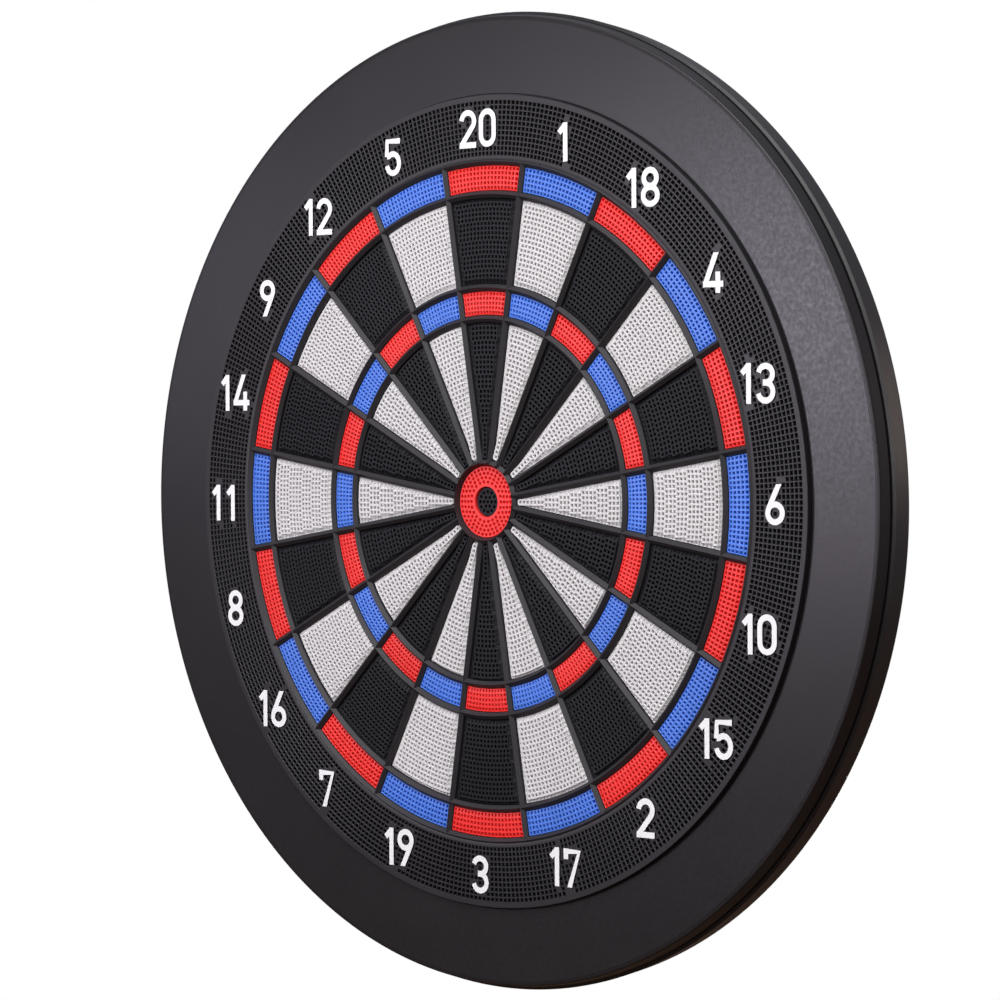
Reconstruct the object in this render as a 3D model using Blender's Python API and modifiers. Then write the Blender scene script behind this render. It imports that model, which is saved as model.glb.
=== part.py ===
"""Electronic soft-tip dartboard: a round wall board with a spider, pressed beds, a number ring and a two-part case.

The model is built in the board's own frame: x to the right, y up, z out from the wall.
An empty turns that frame so that the board faces -Y and stands upright on +Z.
All sizes are in metres. Depths count from the wall.
"""

import math

import bmesh
import bpy


# Fits shared by all pieces
SEAT = 0.0003            # gap between pieces that rest on each other
SLIDE_FIT = 0.0003       # gap round a piece that slides in a hole
NEST_FIT = 0.0005        # gap round a loose layer inside a wall

# Play area, seen from the front
SECTORS = 20
ARC_STEPS = 3            # straight facets along one sector's arc
BAR_WIDTH = 0.0040       # bar of the spider at the face of the beds
BAR_RIDGE = 0.0020       # ridge of a bar above the beds
BAR_DEPTH = 0.0060       # bar below the face of the beds
DOUBLE_OUTER = 0.19615   # outer edge of the double beds
DOUBLE_WIDTH = 0.01435
TRIPLE_OUTER = 0.1229
TRIPLE_WIDTH = 0.0136
BULL_RADIUS = 0.0203
BULLSEYE_RADIUS = 0.0084

# Beds that a dart presses
BED_TRAVEL = 0.0012
FLANGE_THICKNESS = 0.0020
FLANGE_SPACING = 0.0010  # between the flanges of two neighbours
BULLSEYE_FLANGE = 0.0018 # width of the centre bed's flange
BULLSEYE_FLANGE_THICKNESS = 0.0010

# Layers behind the beds
MAT_THICKNESS = 0.0020
FILM_THICKNESS = 0.0005
PLATE_THICKNESS = 0.0040
ELECTRONICS_SPACE = 0.0077

# Number ring and the spider's rim under it
RING_WIDTH = 0.03555     # from the spider to the ring's outer edge
RING_RISE = 0.0012       # face of the ring above the beds
RING_THICKNESS = 0.0025
RING_WALL = 0.0025
RING_EDGE = 0.0005
RIM_THICKNESS = 0.0030
RIM_WALL = 0.0025

# Front surround
SURROUND_GAP = 0.0024    # dark gap round the number ring
BAY_COVER = 0.0057       # surround beyond the battery bay
SURROUND_DROP = 0.0019   # face of the surround below the beds
SURROUND_THICKNESS = 0.0026
SURROUND_WALL = 0.0024
SURROUND_DEPTH = 0.0058
SURROUND_EDGE = 0.0006

# Rear cover
COVER_OVERHANG = 0.0026  # cover beyond the surround
COVER_WALL = 0.0024
COVER_DRAFT = 0.0020     # how much smaller the rear edge is
COVER_ROUND = 0.0028
SHOULDER_WIDTH = 0.0005
SHOULDER_DEPTH = 0.0006
GROOVE_WIDTH = 0.0027    # shadow gap between the two shells
TONGUE_WALL = 0.0018
TONGUE_CLEAR = 0.0015
PLATE_MARGIN = 0.0002    # support plate beyond the surround's skirt
RIB_WALL = 0.0025
RIB_INSET = 0.0020       # rib inside the edge of the support plate
CIRCLE_STEPS = 60

# Wall pad, feet and screws
STANDOFF = 0.0030        # back of the cover from the wall
PAD_RADIUS = 0.0620
PAD_EDGE = 0.0010
INSERT_PITCH = 0.0750
INSERT_RADIUS = 0.0021
INSERT_DEPTH = 0.0040
FOOT_RADIUS = 0.0110
FOOT_INSET = 0.0263      # middle of a foot inside the support plate
FEET = 3
SCREWS = 8
SCREW_POST_RADIUS = 0.0040
SCREW_SINK_RADIUS = 0.0042
SCREW_SINK_DEPTH = 0.0012
PROPS = 6
PROP_CIRCLE = 0.1200
PROP_RADIUS = 0.0040

# Battery bay
CELLS = 3
CELL_RADIUS = 0.00525
CELL_LENGTH = 0.0445
CELL_NUB_RADIUS = 0.0019
CELL_NUB_LENGTH = 0.0008
CELL_EDGE = 0.0005
CONTACT_SPACE = 0.0035   # springs and tabs at the ends of the cells
BAY_WALL = 0.0016
DOOR_THICKNESS = 0.0018
DOOR_LIP = 0.0004        # inner rib that stiffens the door
DOOR_LIP_INSET = 0.0030

# Control board, its film tail and the power button
BOARD_X = 0.0400
BOARD_INSET = 0.0513     # middle of the board inside the support plate
BOARD_WIDTH = 0.0700
BOARD_HEIGHT = 0.0450
BOARD_THICKNESS = 0.0016
BOARD_BOSS_HEIGHT = 0.0023
BOARD_BOSS_RADIUS = 0.0030
BOARD_BOSS_INSET = 0.0040
SOCKET_WIDTH = 0.0240
SOCKET_DEPTH = 0.0050
SOCKET_HEIGHT = 0.0020
SOCKET_INSET = 0.0025
TAIL_WIDTH = 0.0200
TAIL_THICKNESS = 0.0006
TAIL_BEND = 0.0020
TAIL_REACH = 0.0075      # slot in the plate from the edge of the board
SLOT_CLEAR = 0.0015
BUTTON_RIGHT = 0.0220    # button from the middle of the control board
BUTTON_DOWN = 0.0100
BUTTON_RADIUS = 0.0050
BUTTON_FLANGE = 0.0015
BUTTON_FLANGE_THICKNESS = 0.0008
BUTTON_PROUD = 0.0014
BUTTON_STEM_RADIUS = 0.0015
BUTTON_TRAVEL = 0.0008

# Numbers of the sectors, clockwise from the top
NUMBERS = (20, 1, 18, 4, 13, 6, 10, 15, 2, 17, 3, 19, 7, 16, 8, 11, 14, 9, 12, 5)

# Depths from the wall, stacked from the back to the front
COVER_BACK = STANDOFF
COVER_FLOOR = COVER_BACK + COVER_WALL
PLATE_BACK = COVER_FLOOR + ELECTRONICS_SPACE
PLATE_FRONT = PLATE_BACK + PLATE_THICKNESS
FILM_BACK = PLATE_FRONT + SEAT
FILM_FRONT = FILM_BACK + FILM_THICKNESS
MAT_BACK = FILM_FRONT + SEAT
MAT_FRONT = MAT_BACK + MAT_THICKNESS
FLANGE_BACK = MAT_FRONT + SEAT + BED_TRAVEL
FLANGE_FRONT = FLANGE_BACK + FLANGE_THICKNESS
SPIDER_BACK = FLANGE_FRONT + SEAT
BED_FACE = SPIDER_BACK + BAR_DEPTH
RIDGE = BED_FACE + BAR_RIDGE
RING_FACE = BED_FACE + RING_RISE
RING_UNDER = RING_FACE - RING_THICKNESS
RIM_FRONT = RING_UNDER - SEAT
RIM_BACK = RIM_FRONT - RIM_THICKNESS
SKIRT_FOOT = PLATE_FRONT + SEAT
SURROUND_FACE = BED_FACE - SURROUND_DROP
SURROUND_UNDER = SURROUND_FACE - SURROUND_THICKNESS
SURROUND_FOOT = SURROUND_FACE - SURROUND_DEPTH
COVER_FRONT = SURROUND_FOOT - GROOVE_WIDTH
TONGUE_TOP = SURROUND_UNDER - TONGUE_CLEAR

# Radii that follow from the fits
HALF_STEP = math.pi / (SECTORS * ARC_STEPS)
HALF_SECTOR = math.pi / SECTORS
BED_INSET = BAR_WIDTH / 2 + SLIDE_FIT
DOUBLE_OUTER_BAR = DOUBLE_OUTER + BED_INSET
DOUBLE_INNER_BAR = DOUBLE_OUTER - DOUBLE_WIDTH - BED_INSET
TRIPLE_OUTER_BAR = TRIPLE_OUTER + BED_INSET
TRIPLE_INNER_BAR = TRIPLE_OUTER - TRIPLE_WIDTH - BED_INSET
BULL_BAR = BULL_RADIUS + BED_INSET
WEB_OUTER = DOUBLE_OUTER_BAR + BAR_WIDTH / 2 / math.cos(HALF_STEP)
RING_INNER = WEB_OUTER + SEAT
RING_OUTER = RING_INNER + RING_WIDTH
RIM_OUTER = RING_OUTER - RING_WALL - NEST_FIT
MAT_RADIUS = RIM_OUTER - RIM_WALL - NEST_FIT
SURROUND_INNER = RING_OUTER + SURROUND_GAP
PLATE_RADIUS = SURROUND_INNER + SURROUND_WALL + PLATE_MARGIN
CELL_PITCH = 2 * CELL_RADIUS + SEAT
BAY_HEIGHT = CELLS * CELL_PITCH + SEAT
BAY_LENGTH = CELL_LENGTH + CONTACT_SPACE
BAY_TOP = -(PLATE_RADIUS + NEST_FIT + BAY_WALL)
SURROUND_OUTER = BAY_HEIGHT + BAY_WALL - BAY_TOP + BAY_COVER
SCREW_CIRCLE = (SURROUND_INNER + SURROUND_OUTER) / 2
FOOT_CIRCLE = PLATE_RADIUS - FOOT_INSET
BOARD_Y = BOARD_INSET - PLATE_RADIUS
BUTTON_X = BOARD_X + BUTTON_RIGHT
BUTTON_Y = BOARD_Y - BUTTON_DOWN
COVER_RADIUS = SURROUND_OUTER + COVER_OVERHANG
TONGUE_OUTER = SURROUND_OUTER - SURROUND_WALL - SEAT
COVER_REAR = COVER_RADIUS - COVER_DRAFT
COVER_INNER = COVER_REAR - COVER_WALL
RIB_OUTER = PLATE_RADIUS - RIB_INSET


# Scene, collections and the frame that carries the board
for old in list(bpy.data.objects):
    bpy.data.objects.remove(old, do_unlink=True)

parts = bpy.data.collections.new("electronic_dartboard")
cutters = bpy.data.collections.new("dartboard_cutters")
bpy.context.scene.collection.children.link(parts)
bpy.context.scene.collection.children.link(cutters)

board = bpy.data.objects.new("board_frame", None)
board.rotation_euler = (math.pi / 2, 0.0, 0.0)
parts.objects.link(board)


# Helpers for materials, placing, turning and cutting
def material(name, colour, roughness, metallic=0.0):
    """One finish as a Principled BSDF."""
    finish = bpy.data.materials.new(name)
    finish.use_nodes = True
    shader = finish.node_tree.nodes["Principled BSDF"]
    shader.inputs["Base Color"].default_value = (*colour, 1.0)
    shader.inputs["Roughness"].default_value = roughness
    shader.inputs["Metallic"].default_value = metallic
    finish.diffuse_color = (*colour, 1.0)
    return finish


def place(name, mesh, location=(0.0, 0.0, 0.0), turn=0.0, finish=None):
    """A named part on the board; with no finish it is a cutter or a piece to be joined."""
    thing = bpy.data.objects.new(name, mesh)
    thing.parent = board
    thing.location = location
    thing.rotation_euler = (0.0, 0.0, turn)
    if finish is None:
        cutters.objects.link(thing)
        thing.hide_render = True
        thing.display_type = "WIRE"
    else:
        parts.objects.link(thing)
        if not mesh.materials:
            mesh.materials.append(finish)
    return thing


def to_mesh(name, bm):
    """Close a bmesh into a mesh with outward normals, smooth but for its real edges."""
    bmesh.ops.recalc_face_normals(bm, faces=bm.faces[:])
    mesh = bpy.data.meshes.new(name)
    bm.to_mesh(mesh)
    bm.free()
    mesh.shade_smooth()
    mesh.set_sharp_from_angle(angle=math.radians(30))
    return mesh


def turned(name, profile, steps):
    """Turn a (radius, depth) profile round the board's axis; it runs down its outer side."""
    bm = bmesh.new()
    points = [bm.verts.new((radius, 0.0, depth)) for radius, depth in profile]
    for upper, lower in zip(points, points[1:]):
        bm.edges.new((upper, lower))
    if profile[0][0] > 0.0:
        bm.edges.new((points[-1], points[0]))
    mesh = bpy.data.meshes.new(name)
    bm.to_mesh(mesh)
    bm.free()
    lathe = bpy.data.objects.new(name + "_profile", mesh)
    cutters.objects.link(lathe)
    screw = lathe.modifiers.new("turn", "SCREW")
    screw.axis = "Z"
    screw.angle = 2.0 * math.pi
    screw.steps = steps
    screw.render_steps = steps
    screw.use_merge_vertices = True
    screw.merge_threshold = 0.00001
    graph = bpy.context.evaluated_depsgraph_get()
    solid = bpy.data.meshes.new_from_object(lathe.evaluated_get(graph))
    bpy.data.objects.remove(lathe)
    solid.name = name
    solid.shade_smooth()
    solid.set_sharp_from_angle(angle=math.radians(30))
    return solid


def add_box(bm, size, centre):
    """Add a box to a bmesh."""
    corners = bmesh.ops.create_cube(bm, size=1.0)["verts"]
    bmesh.ops.scale(bm, vec=size, verts=corners)
    bmesh.ops.translate(bm, vec=centre, verts=corners)


def add_peg(bm, radius, low, high, x, y, sides=8):
    """Add a round peg along the board's axis to a bmesh."""
    rim = bmesh.ops.create_cone(
        bm, cap_ends=True, segments=sides, radius1=radius, radius2=radius, depth=high - low
    )["verts"]
    bmesh.ops.translate(bm, vec=(x, y, (low + high) / 2), verts=rim)


def boolean(thing, tool, operation):
    """Cut a part with a tool, or join the tool to it."""
    step = thing.modifiers.new(tool.name, "BOOLEAN")
    step.operation = operation
    step.solver = "EXACT"
    step.object = tool


def round_places(count, circle, start):
    """Points spread evenly round the board's axis."""
    places = []
    for index in range(count):
        angle = start + index * 2.0 * math.pi / count
        places.append((circle * math.cos(angle), circle * math.sin(angle)))
    return places


# The flat pattern of sectors that the spider and the beds share
def sector(inner, outer):
    """One sector between two ring bars, as one face about +y, bounded by the bars' centre lines."""
    bm = bmesh.new()
    start = math.pi / 2 - HALF_SECTOR
    ends = []
    for radius in (inner, outer):
        ends.append(bm.verts.new((radius * math.cos(start), radius * math.sin(start), 0.0)))
    line = bm.edges.new(ends)
    bmesh.ops.spin(
        bm, geom=ends + [line], cent=(0, 0, 0), axis=(0, 0, 1), angle=2 * HALF_SECTOR, steps=ARC_STEPS
    )
    bmesh.ops.dissolve_faces(bm, faces=bm.faces[:], use_verts=False)
    return bm


def web_cells():
    """All sectors between the bars' centre lines, and the round cell of the bull, as faces."""
    bm = bmesh.new()
    start = math.pi / 2 - HALF_SECTOR
    radii = (BULL_BAR, TRIPLE_INNER_BAR, TRIPLE_OUTER_BAR, DOUBLE_INNER_BAR, DOUBLE_OUTER_BAR)
    line = [bm.verts.new((r * math.cos(start), r * math.sin(start), 0.0)) for r in radii]
    edges = [bm.edges.new(pair) for pair in zip(line, line[1:])]
    bmesh.ops.spin(
        bm, geom=line + edges, cent=(0, 0, 0), axis=(0, 0, 1), angle=2 * math.pi,
        steps=SECTORS * ARC_STEPS, use_merge=True
    )
    between = [edge for edge in bm.edges if is_radial(edge) and not on_spoke(edge.verts[0].co)]
    bmesh.ops.dissolve_edges(bm, edges=between, use_verts=False)
    spare = [v for v in bm.verts if v.co.length < BULL_BAR * 1.01 and not on_spoke(v.co)]
    bmesh.ops.dissolve_verts(bm, verts=spare)
    hub = [e for e in bm.edges if max(v.co.length for v in e.verts) < BULL_BAR * 1.01]
    bmesh.ops.edgeloop_fill(bm, edges=hub)
    return bm


def is_radial(edge):
    """True for an edge that points at the centre of the board."""
    along = (edge.verts[1].co - edge.verts[0].co).normalized()
    return abs(along.dot(edge.verts[0].co.normalized())) > 0.999


def on_spoke(point):
    """True for a point on one of the radial bars."""
    turns = (math.atan2(point.x, point.y) - HALF_SECTOR) / (2 * HALF_SECTOR)
    return abs(turns - round(turns)) < 0.05


def shrink(bm, distance):
    """Draw the edges of every face in by one distance."""
    rim = bmesh.ops.inset_individual(
        bm, faces=bm.faces[:], thickness=distance, use_even_offset=True
    )["faces"]
    bmesh.ops.delete(bm, geom=rim, context="FACES")


def raise_face(bm, face, height):
    """Pull a single face up into a solid, or one face of a solid further, and return the new face."""
    lone = face.edges[0].is_boundary
    grown = bmesh.ops.extrude_face_region(bm, geom=[face], use_keep_orig=lone)["geom"]
    if not lone and face.is_valid:
        bmesh.ops.delete(bm, geom=[face], context="FACES_ONLY")
    corners = [item for item in grown if isinstance(item, bmesh.types.BMVert)]
    bmesh.ops.translate(bm, vec=(0.0, 0.0, height), verts=corners)
    return [item for item in grown if isinstance(item, bmesh.types.BMFace)][0]


# Finishes
BLACK_SHELL = material("black_shell", (0.020, 0.020, 0.022), 0.55)
BLACK_RING = material("black_number_ring", (0.018, 0.018, 0.020), 0.50)
BLACK_SPIDER = material("black_spider", (0.030, 0.029, 0.032), 0.45)
BLACK_MAT = material("black_rubber_mat", (0.024, 0.024, 0.026), 0.80)
CLEAR_FILM = material("sensor_film", (0.55, 0.56, 0.50), 0.30)
GREY_PLATE = material("grey_support_plate", (0.18, 0.18, 0.19), 0.60)
REAR_SHELL = material("rear_shell", (0.022, 0.022, 0.024), 0.60)
GREEN_BOARD = material("green_circuit_board", (0.02, 0.16, 0.06), 0.40)
AMBER_TAIL = material("amber_film_tail", (0.50, 0.26, 0.05), 0.35)
DOOR_SHELL = material("battery_door_shell", (0.022, 0.022, 0.024), 0.60)
CELL_JACKET = material("battery_jacket", (0.30, 0.31, 0.33), 0.35, 0.6)
BUTTON_GREY = material("grey_button", (0.16, 0.16, 0.17), 0.50)
FOOT_RUBBER = material("foot_rubber", (0.03, 0.03, 0.03), 0.85)
BED_RED = material("red_bed", (0.75, 0.015, 0.02), 0.40)
BED_BLUE = material("blue_bed", (0.04, 0.12, 0.75), 0.40)
BED_BLACK = material("black_bed", (0.020, 0.020, 0.023), 0.45)


# Rear cover: a shallow dish with a pad for the wall, a rib under the plate and a tongue at its rim
cover_profile = (
    (0.0, COVER_FLOOR),
    (RIB_OUTER - RIB_WALL, COVER_FLOOR),
    (RIB_OUTER - RIB_WALL, PLATE_BACK - SEAT),
    (RIB_OUTER, PLATE_BACK - SEAT),
    (RIB_OUTER, COVER_FLOOR),
    (COVER_INNER - COVER_ROUND + COVER_WALL, COVER_FLOOR),
    (COVER_INNER, COVER_FLOOR + COVER_ROUND - COVER_WALL),
    (COVER_INNER, COVER_FRONT - SHOULDER_DEPTH - COVER_WALL / 2),
    (TONGUE_OUTER - TONGUE_WALL, COVER_FRONT - COVER_WALL / 2),
    (TONGUE_OUTER - TONGUE_WALL, TONGUE_TOP),
    (TONGUE_OUTER, TONGUE_TOP),
    (TONGUE_OUTER, COVER_FRONT),
    (COVER_RADIUS - SHOULDER_WIDTH, COVER_FRONT),
    (COVER_RADIUS, COVER_FRONT - SHOULDER_DEPTH),
    (COVER_REAR, COVER_BACK + COVER_ROUND),
    (COVER_REAR - COVER_ROUND * 0.3, COVER_BACK + COVER_ROUND * 0.3),
    (COVER_REAR - COVER_ROUND, COVER_BACK),
    (PAD_RADIUS + PAD_EDGE, COVER_BACK),
    (PAD_RADIUS, 0.0),
    (0.0, 0.0),
)
rear_cover = place("rear_cover", turned("rear_cover", cover_profile, CIRCLE_STEPS), finish=REAR_SHELL)

# Battery bay: a box with its mouth in the back of the cover, just outside the support plate
bay_middle = BAY_TOP - BAY_HEIGHT / 2
cell_axis = COVER_BACK + DOOR_THICKNESS + DOOR_LIP + SEAT + CELL_RADIUS
bay_ceiling = cell_axis + CELL_RADIUS + SEAT

bm = bmesh.new()
bay_low = (COVER_BACK + COVER_FLOOR) / 2
add_box(
    bm,
    (BAY_LENGTH + 2 * BAY_WALL, BAY_HEIGHT + 2 * BAY_WALL, bay_ceiling + BAY_WALL - bay_low),
    (0.0, bay_middle, (bay_ceiling + BAY_WALL + bay_low) / 2),
)
boolean(rear_cover, place("battery_bay", to_mesh("battery_bay", bm)), "UNION")

bm = bmesh.new()
mouth = COVER_BACK - STANDOFF / 2
add_box(bm, (BAY_LENGTH, BAY_HEIGHT, bay_ceiling - mouth), (0.0, bay_middle, (bay_ceiling + mouth) / 2))
boolean(rear_cover, place("battery_mouth", to_mesh("battery_mouth", bm)), "DIFFERENCE")

# Props under the support plate and bosses under the control board
bm = bmesh.new()
for x, y in round_places(PROPS, PROP_CIRCLE, math.pi / PROPS):
    add_peg(bm, PROP_RADIUS, COVER_FLOOR - COVER_WALL / 2, PLATE_BACK - SEAT, x, y)
board_back = COVER_FLOOR + BOARD_BOSS_HEIGHT + SEAT
for side in (-1, 1):
    for level in (-1, 1):
        boss_x = BOARD_X + side * (BOARD_WIDTH / 2 - BOARD_BOSS_INSET)
        boss_y = BOARD_Y + level * (BOARD_HEIGHT / 2 - BOARD_BOSS_INSET)
        add_peg(bm, BOARD_BOSS_RADIUS, COVER_FLOOR - COVER_WALL / 2, board_back - SEAT, boss_x, boss_y)
boolean(rear_cover, place("cover_pegs", to_mesh("cover_pegs", bm)), "UNION")

# Holes in the back: insert holes in the pad, sinks for the case screws and the button's hole
bm = bmesh.new()
for x in (-INSERT_PITCH / 2, INSERT_PITCH / 2):
    for y in (-INSERT_PITCH / 2, INSERT_PITCH / 2):
        add_peg(bm, INSERT_RADIUS, -STANDOFF, INSERT_DEPTH, x, y)
for x, y in round_places(SCREWS, SCREW_CIRCLE, math.pi / SCREWS):
    add_peg(bm, SCREW_SINK_RADIUS, COVER_BACK - STANDOFF / 2, COVER_BACK + SCREW_SINK_DEPTH, x, y)
add_peg(
    bm, BUTTON_RADIUS + SLIDE_FIT, COVER_BACK - STANDOFF / 2, COVER_FLOOR + COVER_WALL / 2,
    BUTTON_X, BUTTON_Y, sides=12
)
boolean(rear_cover, place("back_holes", to_mesh("back_holes", bm)), "DIFFERENCE")

# Rubber feet that share the wall plane with the pad
for number, (x, y) in enumerate(round_places(FEET, FOOT_CIRCLE, math.pi / 2), start=1):
    bm = bmesh.new()
    add_peg(bm, FOOT_RADIUS, 0.0, COVER_BACK - SEAT, 0.0, 0.0, sides=12)
    place(f"wall_foot_{number}", to_mesh(f"wall_foot_{number}", bm), (x, y, 0.0), finish=FOOT_RUBBER)

# Battery cells lie across the bay, side by side
cell_profile = (
    (0.0, CELL_LENGTH / 2),
    (CELL_NUB_RADIUS, CELL_LENGTH / 2),
    (CELL_NUB_RADIUS, CELL_LENGTH / 2 - CELL_NUB_LENGTH),
    (CELL_RADIUS - CELL_EDGE, CELL_LENGTH / 2 - CELL_NUB_LENGTH),
    (CELL_RADIUS, CELL_LENGTH / 2 - CELL_NUB_LENGTH - CELL_EDGE),
    (CELL_RADIUS, -CELL_LENGTH / 2),
    (0.0, -CELL_LENGTH / 2),
)
for number in range(1, CELLS + 1):
    name = f"battery_cell_{number}"
    height = BAY_TOP - SEAT - CELL_RADIUS - (number - 1) * CELL_PITCH
    cell = place(name, turned(name, cell_profile, 10), (0.0, height, cell_axis), finish=CELL_JACKET)
    cell.rotation_euler = (0.0, math.pi / 2 * (-1) ** number, 0.0)

# Battery door: a flush plate hinged on its upper outer edge, stiffened by a raised field inside
bm = bmesh.new()
door_length = BAY_LENGTH - 2 * SLIDE_FIT
door_height = BAY_HEIGHT - 2 * SLIDE_FIT
add_box(bm, (door_length, door_height, DOOR_THICKNESS), (0.0, -door_height / 2, DOOR_THICKNESS / 2))
bm.faces.ensure_lookup_table()
inside = max(bm.faces, key=lambda face: face.calc_center_median().z)
bmesh.ops.inset_individual(bm, faces=[inside], thickness=DOOR_LIP_INSET, use_even_offset=True)
raise_face(bm, inside, DOOR_LIP)
place(
    "battery_door", to_mesh("battery_door", bm), (0.0, BAY_TOP - SLIDE_FIT, COVER_BACK), finish=DOOR_SHELL
)

# Control board with the socket for the film's tail
bm = bmesh.new()
add_box(bm, (BOARD_WIDTH, BOARD_HEIGHT, BOARD_THICKNESS), (0.0, 0.0, BOARD_THICKNESS / 2))
control_board = place(
    "control_board", to_mesh("control_board", bm), (BOARD_X, BOARD_Y, board_back), finish=GREEN_BOARD
)
board_front = board_back + BOARD_THICKNESS
socket_top = BOARD_Y + BOARD_HEIGHT / 2 - SOCKET_INSET
bm = bmesh.new()
add_box(
    bm,
    (SOCKET_WIDTH, SOCKET_DEPTH, SOCKET_HEIGHT + BOARD_THICKNESS / 2),
    (BOARD_X, socket_top - SOCKET_DEPTH / 2, board_front + SOCKET_HEIGHT / 2 - BOARD_THICKNESS / 4),
)
boolean(control_board, place("board_socket", to_mesh("board_socket", bm)), "UNION")

# Power button: a cap through the back of the cover, held by its flange
button_top = COVER_BACK - BUTTON_PROUD
flange_low = COVER_FLOOR + SEAT
flange_high = flange_low + BUTTON_FLANGE_THICKNESS
stem_high = board_back - SEAT - BUTTON_TRAVEL
button_profile = (
    (0.0, stem_high),
    (BUTTON_STEM_RADIUS, stem_high),
    (BUTTON_STEM_RADIUS, flange_high),
    (BUTTON_RADIUS + BUTTON_FLANGE, flange_high),
    (BUTTON_RADIUS + BUTTON_FLANGE, flange_low),
    (BUTTON_RADIUS, flange_low),
    (BUTTON_RADIUS, button_top),
    (0.0, button_top),
)
place("power_button", turned("power_button", button_profile, 12), (BUTTON_X, BUTTON_Y, 0.0), finish=BUTTON_GREY)

# Support plate with the slot for the film's tail
bm = bmesh.new()
add_peg(bm, PLATE_RADIUS, PLATE_BACK, PLATE_FRONT, 0.0, 0.0, sides=CIRCLE_STEPS)
support_plate = place("support_plate", to_mesh("support_plate", bm), finish=GREY_PLATE)
slot_y = BOARD_Y + BOARD_HEIGHT / 2 + TAIL_REACH
bm = bmesh.new()
add_box(
    bm,
    (TAIL_WIDTH + 2 * SLOT_CLEAR, TAIL_THICKNESS + 2 * SLOT_CLEAR, PLATE_THICKNESS * 2),
    (BOARD_X, slot_y, (PLATE_BACK + PLATE_FRONT) / 2),
)
boolean(support_plate, place("tail_slot", to_mesh("tail_slot", bm)), "DIFFERENCE")

# Sensor film and its tail, a strip that bends from the slot to the socket
bm = bmesh.new()
add_peg(bm, MAT_RADIUS, FILM_BACK, FILM_FRONT, 0.0, 0.0, sides=CIRCLE_STEPS)
place("sensor_film", to_mesh("sensor_film", bm), finish=CLEAR_FILM)

run_depth = board_front + SOCKET_HEIGHT / 2
tail_end = socket_top + SEAT
tail_line = [(slot_y, FILM_BACK - SEAT)]
for step in range(4):
    angle = step * math.pi / 6
    tail_line.append(
        (slot_y - TAIL_BEND * (1 - math.cos(angle)), run_depth + TAIL_BEND * (1 - math.sin(angle)))
    )
tail_line.append((tail_end, run_depth))
bm = bmesh.new()
corners = [bm.verts.new((-TAIL_WIDTH / 2, y, z)) for y, z in tail_line]
strip = [bm.edges.new(pair) for pair in zip(corners, corners[1:])]
wide = bmesh.ops.extrude_edge_only(bm, edges=strip)["geom"]
far = [item for item in wide if isinstance(item, bmesh.types.BMVert)]
bmesh.ops.translate(bm, vec=(TAIL_WIDTH, 0.0, 0.0), verts=far)
film_tail = place("film_tail", to_mesh("film_tail", bm), (BOARD_X, 0.0, 0.0), finish=AMBER_TAIL)
sheet = film_tail.modifiers.new("thickness", "SOLIDIFY")
sheet.thickness = TAIL_THICKNESS
sheet.offset = 0.0

# Rubber mat that carries the single beds; they stand up from it through the spider
bm = bmesh.new()
add_peg(bm, MAT_RADIUS, MAT_BACK, MAT_FRONT, 0.0, 0.0, sides=CIRCLE_STEPS)
segment_mat = place("segment_mat", to_mesh("segment_mat", bm), finish=BLACK_MAT)

bm = web_cells()
scored = []
for face in bm.faces:
    radius = face.calc_center_median().xy.length
    if radius < BULL_BAR or TRIPLE_INNER_BAR < radius < TRIPLE_OUTER_BAR or radius > DOUBLE_INNER_BAR:
        scored.append(face)
bmesh.ops.delete(bm, geom=scored, context="FACES")
shrink(bm, BED_INSET)
for face in bm.faces[:]:
    bmesh.ops.translate(bm, vec=(0.0, 0.0, MAT_FRONT - MAT_THICKNESS / 2), verts=face.verts[:])
    raise_face(bm, face, BED_FACE - MAT_FRONT + MAT_THICKNESS / 2)
boolean(segment_mat, place("single_beds", to_mesh("single_beds", bm)), "UNION")


# Beds with a joint of their own: doubles, triples and the two parts of the bull
def bed_mesh(name, inner, outer, middle):
    """A flanged bed, about its own middle radius."""
    bm = sector(inner, outer)
    shrink(bm, FLANGE_SPACING / 2)
    bmesh.ops.translate(bm, vec=(0.0, -middle, FLANGE_BACK), verts=bm.verts[:])
    face = raise_face(bm, bm.faces[:][0], FLANGE_THICKNESS)
    bmesh.ops.inset_individual(
        bm, faces=[face], thickness=BED_INSET - FLANGE_SPACING / 2, use_even_offset=True
    )
    raise_face(bm, face, BED_FACE - FLANGE_FRONT)
    return to_mesh(name, bm)


rings = (
    ("double", DOUBLE_INNER_BAR, DOUBLE_OUTER_BAR),
    ("triple", TRIPLE_INNER_BAR, TRIPLE_OUTER_BAR),
)
for kind, inner, outer in rings:
    middle = (inner + outer) / 2
    meshes = [bed_mesh(f"{kind}_red", inner, outer, middle), bed_mesh(f"{kind}_blue", inner, outer, middle)]
    for index, number in enumerate(NUMBERS):
        angle = index * 2 * HALF_SECTOR
        spot = (middle * math.sin(angle), middle * math.cos(angle), 0.0)
        place(f"{kind}_{number:02d}", meshes[index % 2], spot, -angle, (BED_RED, BED_BLUE)[index % 2])

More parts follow.
